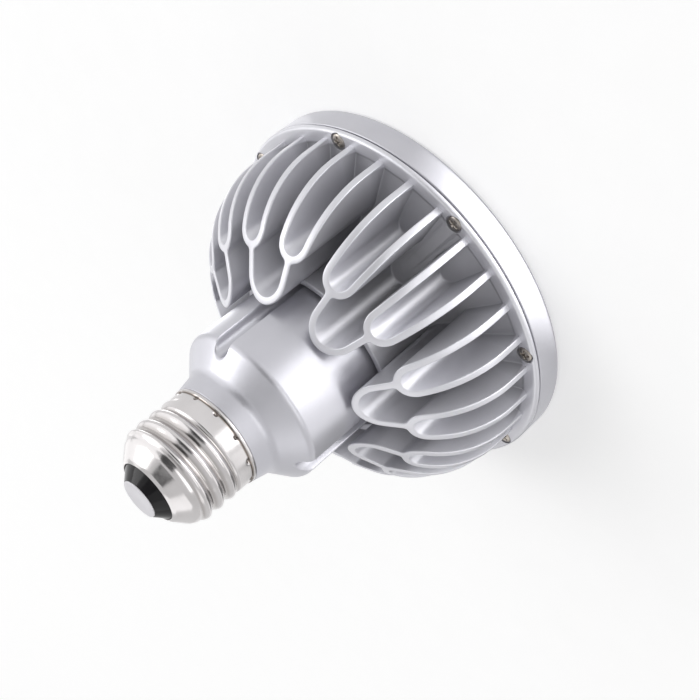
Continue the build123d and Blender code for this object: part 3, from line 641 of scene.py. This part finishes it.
neck_grid = np.stack([neck_radius * np.cos(neck_angle), neck_radius * np.sin(neck_angle),
                      np.repeat(neck_outline[:, 1:], len(neck_angle), 1)], -1)
neck_mesh = smooth_mesh("neck", *wrapped(neck_grid), silver_paint)
stand_in("neck_moulding", neck_mesh, "silver_plastic", "neck_housing")

# Screw shell: drawn brass sheet, nickel plated, with a rolled knuckle thread that runs out at both ends.
# Its rim is rolled against the collar and staked to it with small punch marks.
nickel_plate = grained(
    "nickel plate", (0.66, 0.638, 0.64), (0.58, 0.56, 0.56), 1.2, 0.05, 0.18, {"Metallic": 1.0})
shell_bore, rim_radius, skirt_radius, skirt_low = 11.6, 13.2, 12.9, 65.5
thread_root, thread_depth, thread_pitch = 12.23, 0.87, 3.63
thread_start, first_crest, thread_top = math.radians(90), 68.7, 79.8


def tinted(finish, share, colour):
    """Mix a second colour into a finish's own by a share."""
    tree = finish.node_tree
    shader = tree.nodes["Principled BSDF"]
    mixed = tree.nodes.new("ShaderNodeMix")
    mixed.data_type = "RGBA"
    mixed.inputs["B"].default_value = (*colour, 1)
    tree.links.new(share, mixed.inputs["Factor"])
    tree.links.new(shader.inputs["Base Color"].links[0].from_socket, mixed.inputs["A"])
    tree.links.new(mixed.outputs["Result"], shader.inputs["Base Color"])


def dark_band_at_height(finish, height, colour):
    """Band of a darker colour mixed into a metal's own, along the crease at one height."""
    tree = finish.node_tree
    off_line = worked_out(tree, "ABSOLUTE", worked_out(tree, "SUBTRACT", axis_height(tree), height / 1000))
    tinted(finish, length_ramp(tree, off_line, 0.1, 0.4, 0.9, 0), colour)


def darken_thread_valleys(finish, strength, colour):
    """Darker colour mixed into a metal's own, deepest at the root of the thread and gone above its last turn.
    """
    tree = finish.node_tree
    darkening_edge = thread_root + 0.75 * thread_depth
    deep = length_ramp(tree, axis_reach(tree), thread_root, darkening_edge, strength, 0, "SMOOTHSTEP")
    low = length_ramp(tree, axis_height(tree), thread_top, thread_top + 0.6, 1, 0, "SMOOTHSTEP")
    tinted(finish, worked_out(tree, "MULTIPLY", deep, low), colour)


dark_band_at_height(nickel_plate, skirt_low, (0.16, 0.13, 0.11))
darken_thread_valleys(nickel_plate, 0.45, (0.26, 0.23, 0.21))
thread_heights = np.linspace(skirt_low + 0.1, 79.56, 116)
shell_outline = np.concatenate([
    rounded_profile([(shell_bore, collar_top, 0), (rim_radius, collar_top, 0.2), (rim_radius, 65.2, 0.25),
                     (skirt_radius, skirt_low, 0.1)], 4)[:-1],
    np.column_stack([np.full(len(thread_heights), skirt_radius), thread_heights]),
    rounded_profile([(thread_root, 79, 0), (thread_root, 81.1, 3.4), (8.75, 84.55, 2.0), (7.85, 85.05, 0.1),
                     (7.7, 84.5, 0)], 16)[1:],
    [(shell_bore, 80.9), (shell_bore, 72)]])
shell_columns = 300
shell_angle = np.radians(np.arange(shell_columns) * (360 / shell_columns))
shell_radius = np.repeat(shell_outline[:, :1], shell_columns, 1)
shell_height = np.repeat(shell_outline[:, 1:], shell_columns, 1)


def eased(low, high, value):
    """Smooth step from 0 to 1."""
    share = np.clip((value - low) / (high - low), 0, 1)
    return share * share * (3 - 2 * share)


run_in_low, run_in_high, run_in_turn = -2.1, -1.2, 0.16
run_out_low, run_out_high = 79.2, 80.9
wound = (shell_angle - thread_start) % math.tau / math.tau
climb = shell_height - first_crest - thread_pitch * wound
ridge = thread_depth * (0.5 + 0.5 * np.cos(math.tau * climb / thread_pitch))
ridge = ridge * (1 - eased(run_out_low, run_out_high, shell_height))
begun = eased(0, run_in_turn, wound)
first_turn = eased(run_in_low, run_in_high, climb)
second_turn = eased(run_in_low, run_in_high, climb - thread_pitch)
on_thread = first_turn * begun + second_turn * (1 - begun)
threaded = shell_radius * (1 - on_thread) + (thread_root + ridge) * on_thread
nose_low = thread_top + 0.1
on_body = (shell_height > skirt_low) & (shell_radius > shell_bore)
rolled = np.where(shell_height < nose_low, threaded, shell_radius + ridge)
shell_radius = np.where(on_body, rolled, shell_radius)
punch_count, first_punch, punch_circle, punch_height = 12, 28, 13, 65.75
punch_half, punch_rise, punch_depth = 0.5, 0.4, 0.6
punches = np.radians(first_punch + 360 / punch_count * np.arange(punch_count))
off_punch = np.min([abs((shell_angle - p + math.pi) % math.tau - math.pi) for p in punches], 0) * punch_circle
dent = np.exp(-(off_punch / punch_half) ** 2) * np.exp(-((shell_height - punch_height) / punch_rise) ** 2)
shell_radius = shell_radius - punch_depth * dent * (shell_radius > shell_bore)
shell_grid = np.stack(
    [shell_radius * np.cos(shell_angle), shell_radius * np.sin(shell_angle), shell_height], -1)
shell_mesh = smooth_mesh("shell", *wrapped(shell_grid), nickel_plate)
stand_in("threaded_shell", shell_mesh, "nickel", "screw_shell")

# Base insulator: a glossy black moulded cone that keeps the tip contact apart from the shell.
# It is pressed into the shell's open end.
black_glass = grained(
    "black insulator glass", (0.012, 0.012, 0.013), (0.022, 0.021, 0.023), 1.2, 0.2, 0.1, {"IOR": 1.26})
cone_seat, cone_top = 80, 87.4
cone_mesh = smooth_mesh("cone", *wrapped(turned(rounded_profile([
    (0, cone_seat, 0), (7.2, cone_seat, 0), (7.65, 84.85, 0.15), (5.1, cone_top, 0.15), (4.6, cone_top, 0),
    (0, cone_top, 0)]), 160)), black_glass)
stand_in("insulator_cone", cone_mesh, "insulator_black", "base_insulator")

# Tip contact: a low crowned disc of tinned brass in the middle of the insulator.
# Its eyelet goes down through the insulator and takes the lead of the live side.
tinned = grained("tinned contact", (0.80, 0.79, 0.82), (0.72, 0.71, 0.74), 0.6, 0.3, 0.5, {"Metallic": 0.5})
tip_radius, tip_seat, lamp_length = 4.95, 87.35, 87.8
tip_mesh = smooth_mesh("tip", *wrapped(turned(rounded_profile([
    (0, tip_seat, 0), (tip_radius, tip_seat, 0), (tip_radius, 87.65, 0.12), (4.0, 87.73, 0), (2.4, 87.78, 0),
    (0, lamp_length, 0)]), 120)), tinned)
stand_in("contact_tip", tip_mesh, "tip_metal", "tip_contact")

# Lens and gasket: a clear moulded optic with a pebbled front, held at its rim by a soft black ring.
# Both drop into the bezel from behind.
clear_lens = grained("clear lens", (0.96, 0.97, 0.98), (0.93, 0.95, 0.96), 1.4, 0.25, 0.08,
                     {"Transmission Weight": 1.0, "IOR": 1.49})
gasket_rubber = grained("gasket rubber", (0.03, 0.03, 0.032), (0.045, 0.045, 0.047), 0.3, 0.3, 0.6)


def dress(finish, *nodes):
    """Give solids of the frame a finish."""
    for node in nodes:
        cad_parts[node].data.materials[0] = finish


dress(clear_lens, "front_optic")
dress(gasket_rubber, "optic_gasket")

# Light source: a white metal-core board on a grey silicone pad, with a yellow phosphor dome in the middle.
# Two screws hold it to the plate, and three more hold the neck.
white_solder = grained("white solder resist", (0.82, 0.82, 0.80), (0.76, 0.76, 0.74), 0.5, 0.12, 0.42)
phosphor = grained(
    "yellow phosphor", (0.78, 0.55, 0.10), (0.70, 0.46, 0.07), 0.3, 0.3, 0.35, {"Coat Weight": 0.5})
silicone_pad = grained("grey silicone", (0.42, 0.44, 0.45), (0.36, 0.38, 0.39), 0.6, 0.2, 0.7)
dress(white_solder, "led_board")
dress(phosphor, "led_emitter")
dress(silicone_pad, "thermal_pad")
dress(screw_steel, "led_board_screws", "neck_screws")

# Driver: a green board that slides into the neck, with its coil, capacitors, chips and leads soldered to it.
# None of it shows while the lamp is closed.
green_solder = grained("green solder resist", (0.02, 0.16, 0.06), (0.015, 0.12, 0.045), 0.8, 0.2, 0.35)
ferrite = grained("ferrite", (0.05, 0.05, 0.055), (0.035, 0.035, 0.04), 0.3, 0.4, 0.6)
coil_tape = grained("yellow coil tape", (0.72, 0.52, 0.08), (0.64, 0.44, 0.06), 2.0, 0.2, 0.38)
dark_sleeve = grained("capacitor sleeve", (0.03, 0.035, 0.05), (0.02, 0.025, 0.035), 1.5, 0.1, 0.3)
film_resin = grained("film resin", (0.48, 0.10, 0.05), (0.40, 0.08, 0.04), 0.6, 0.2, 0.35)
resistor_coat = grained("resistor coat", (0.35, 0.50, 0.55), (0.30, 0.44, 0.48), 0.5, 0.2, 0.45)
chip_resin = grained("chip resin", (0.03, 0.03, 0.03), (0.045, 0.045, 0.045), 0.3, 0.3, 0.55)
white_lead = grained("white lead", (0.80, 0.80, 0.78), (0.74, 0.74, 0.72), 0.6, 0.1, 0.45)
black_lead = grained("black lead", (0.02, 0.02, 0.022), (0.03, 0.03, 0.032), 0.6, 0.1, 0.45)
red_lead = grained("red lead", (0.45, 0.02, 0.02), (0.38, 0.015, 0.015), 0.6, 0.1, 0.45)
dress(green_solder, "driver_board")
dress(ferrite, "transformer_core", "filter_inductor")
dress(coil_tape, "transformer_coil")
dress(dark_sleeve, "bulk_capacitor")
dress(film_resin, "film_capacitor")
dress(chip_resin, "bridge_rectifier", "controller_chip", "power_transistor")
dress(resistor_coat, "fuse_resistor")
dress(red_lead, "led_leads")
dress(black_lead, "line_lead")
dress(white_lead, "neutral_lead")

# Floor: a plain pale sweep under the lamp. It glows a little for the camera and in reflections, so that
# it reads as white, and still takes the lamp's shadow.
floor_half, floor_glow = 6, 0.37
floor_mesh = bpy.data.meshes.new("floor")
floor_corners = [(x * floor_half, y * floor_half, 0) for x, y in ((-1, -1), (1, -1), (1, 1), (-1, 1))]
floor_mesh.from_pydata(floor_corners, [], [(0, 1, 2, 3)])
pale_floor = grained("pale floor", (0.80, 0.80, 0.80), (0.79, 0.79, 0.79), 5.0, 0.0, 0.7)


def background_rays(tree):
    """Socket that is 1 for rays that see the background: camera, mirror and clear ones."""
    path = tree.nodes.new("ShaderNodeLightPath").outputs
    seen = worked_out(tree, "MAXIMUM", path["Is Camera Ray"], path["Is Glossy Ray"])
    return worked_out(tree, "MAXIMUM", seen, path["Is Transmission Ray"])


floor_tree = pale_floor.node_tree
floor_shader = floor_tree.nodes["Principled BSDF"]
glow = worked_out(floor_tree, "MULTIPLY", background_rays(floor_tree), floor_glow)
floor_tree.links.new(glow, floor_shader.inputs["Emission Strength"])
floor_shader.inputs["Emission Color"].default_value = (1, 1, 1, 1)
floor_shader.inputs["Specular IOR Level"].default_value = 0
floor_mesh.materials.append(pale_floor)
floor = bpy.data.objects.new("floor", floor_mesh)
bpy.context.collection.objects.link(floor)

# Studio light: a plain pale room with softboxes to the left, in front and to the right, and small light
# panels that lie on the floor beside the lamp. A light ring, two dark cloths and a painted shadow of the
# lamp on the table show only in reflections, and give the silver something to mirror.
room_light, room_white = 0.42, 0.8
world = bpy.data.worlds.new("studio")
bpy.context.scene.world = world
world.use_nodes = True
room = world.node_tree
level = room.nodes.new("ShaderNodeMix")
level.inputs["A"].default_value = room_light
level.inputs["B"].default_value = room_white
room.nodes["Background"].inputs["Color"].default_value = (1, 1, 1, 1)
room.links.new(background_rays(room), level.inputs["Factor"])
room.links.new(level.outputs["Result"], room.nodes["Background"].inputs["Strength"])
softbox_distance, softbox_aim = 3, Vector((0, 0, 0.04))


def soft_lamp(name, azimuth, elevation, width, height, brightness):
    """Softbox in the given direction from the lamp, whose face has the given brightness."""
    panel = bpy.data.lights.new(name, "AREA")
    panel.shape = "RECTANGLE"
    panel.size, panel.size_y = width, height
    panel.energy = brightness * math.pi * width * height
    holder = bpy.data.objects.new(name, panel)
    a, e = math.radians(azimuth), math.radians(elevation)
    toward = Vector((math.cos(e) * math.cos(a), math.cos(e) * math.sin(a), math.sin(e)))
    holder.location = toward * softbox_distance + softbox_aim
    holder.rotation_euler = (-toward).to_track_quat("-Z", "Y").to_euler()
    holder.visible_camera = False
    bpy.context.collection.objects.link(holder)
    return holder


soft_lamp("left softbox", 140, 34, 4.7, 3.0, 0.65)
soft_lamp("left lamp", 146, 47, 1.5, 1.15, 2.8)
soft_lamp("far left softbox", 200, 12, 2.0, 1.2, 0.6)
soft_lamp("front softbox", 20, 17, 4.4, 0.8, 1.4)
soft_lamp("right softbox", -90, 50, 3.0, 1.7, 0.6)
panel_lift, ring_lift = 0.0003, 0.0006


def table_panel(name, azimuth, near, far, half_width, brightness):
    """Light panel that lies on the floor beside the lamp and shines up at it."""
    holder = soft_lamp(name, 0, 90, far - near, 2 * half_width, brightness)
    a = math.radians(azimuth)
    reach = (near + far) / 2
    holder.location = (reach * math.cos(a), reach * math.sin(a), panel_lift)
    holder.rotation_euler = (math.pi, 0, a)


table_panel("far table panel", 22, 0.082, 0.190, 0.060, 2.2)
table_panel("low table panel", -24, 0.082, 0.190, 0.045, 0.6)
table_panel("left table panel", 185, 0.060, 0.150, 0.025, 2.0)
table_panel("back table panel", 125, 0.0478, 0.070, 0.010, 0.35)


def mirror_panel(name, mesh):
    """Panel beside the lamp that shows only in reflections."""
    panel = bpy.data.objects.new(name, mesh)
    panel.visible_camera = panel.visible_shadow = panel.visible_diffuse = False
    bpy.context.collection.objects.link(panel)


def table_ring(name, near, far, steps, fades, brightness):
    """Flat light ring on the floor round the lamp, clear except over the turns where it fades up and down."""
    turns = [math.tau * i / steps for i in range(steps)]
    corners = [(reach * math.cos(t), reach * math.sin(t), ring_lift) for reach in (near, far) for t in turns]
    faces = [(i, i + steps, (i + 1) % steps + steps, (i + 1) % steps) for i in range(steps)]
    mesh = bpy.data.meshes.new(name)
    mesh.from_pydata(corners, [], faces)
    finish = bpy.data.materials.new(name)
    finish.use_nodes = True
    tree = finish.node_tree
    tree.nodes.remove(tree.nodes["Principled BSDF"])
    place, turn, fade, clear, lit, both = (tree.nodes.new("ShaderNode" + n) for n in (
        "TexCoord", "TexGradient", "ValToRGB", "BsdfTransparent", "Emission", "AddShader"))
    turn.gradient_type = "RADIAL"
    ramp = fade.color_ramp
    ramp.interpolation = "EASE"
    ramp.elements.new(0.5)
    for stop, azimuth, share in zip(ramp.elements, fades, (0, 1, 0)):
        stop.position, stop.color = 0.5 + azimuth / 360, (share, share, share, 1)
    tree.links.new(place.outputs["Object"], turn.inputs["Vector"])
    tree.links.new(turn.outputs["Fac"], fade.inputs["Fac"])
    power = worked_out(tree, "MULTIPLY", fade.outputs["Color"], brightness)
    tree.links.new(power, lit.inputs["Strength"])
    tree.links.new(clear.outputs[0], both.inputs[0])
    tree.links.new(lit.outputs[0], both.inputs[1])
    tree.links.new(both.outputs[0], tree.nodes["Material Output"].inputs["Surface"])
    mesh.materials.append(finish)
    mirror_panel(name, mesh)


table_ring("table ring", 0.0478, 0.080, 96, (-9, 31, 72), 3.5)


def cloth(name, tone, corners):
    """Dark sheet that shows only in reflections: a cloth, or the painted shadow on the table."""
    mesh = bpy.data.meshes.new(name)
    mesh.from_pydata(corners, [], [(0, 1, 2, 3)])
    mesh.materials.append(grained(name, (tone,) * 3, (tone * 0.8,) * 3, 1.0, 0.2, 0.9))
    mirror_panel(name, mesh)


cloth("overhead cloth", 0.05, [(0.19, 0.065, 0.55), (0, 0.236, 0.55), (-0.06, 0.17, 0.55), (0.13, 0, 0.55)])
cloth("camera cloth", 0.1, [(0.225, 0.20, 0.12), (0.03, 0.30, 0.12), (0.03, 0.30, 0.42), (0.225, 0.20, 0.42)])
# The grey sheet on the table, seen only in reflections, is a painted shadow of the lamp.
cloth("painted table shadow", 0.3, [(0.042, -0.042, 0.001), (0.134, -0.134, 0.001), (-0.017, -0.189, 0.001),
                           (-0.005, -0.06, 0.001)])

# Camera: at the photograph's viewing angle, above the lamp and rolled, so that its base points down to the
# left. The picture keeps plain tones.
lens = bpy.data.cameras.new("camera")
lens.lens, lens.sensor_width, lens.clip_start = 67.7234, 36, 0.01
camera = bpy.data.objects.new("camera", lens)
camera.location = (0.2106106, 0.1890120, 0.1655875)
camera.rotation_euler = [math.radians(a) for a in (-52.22826, 43.26743, -19.17774)]
bpy.context.collection.objects.link(camera)
bpy.context.scene.camera = camera
bpy.context.scene.view_settings.view_transform = "Standard"
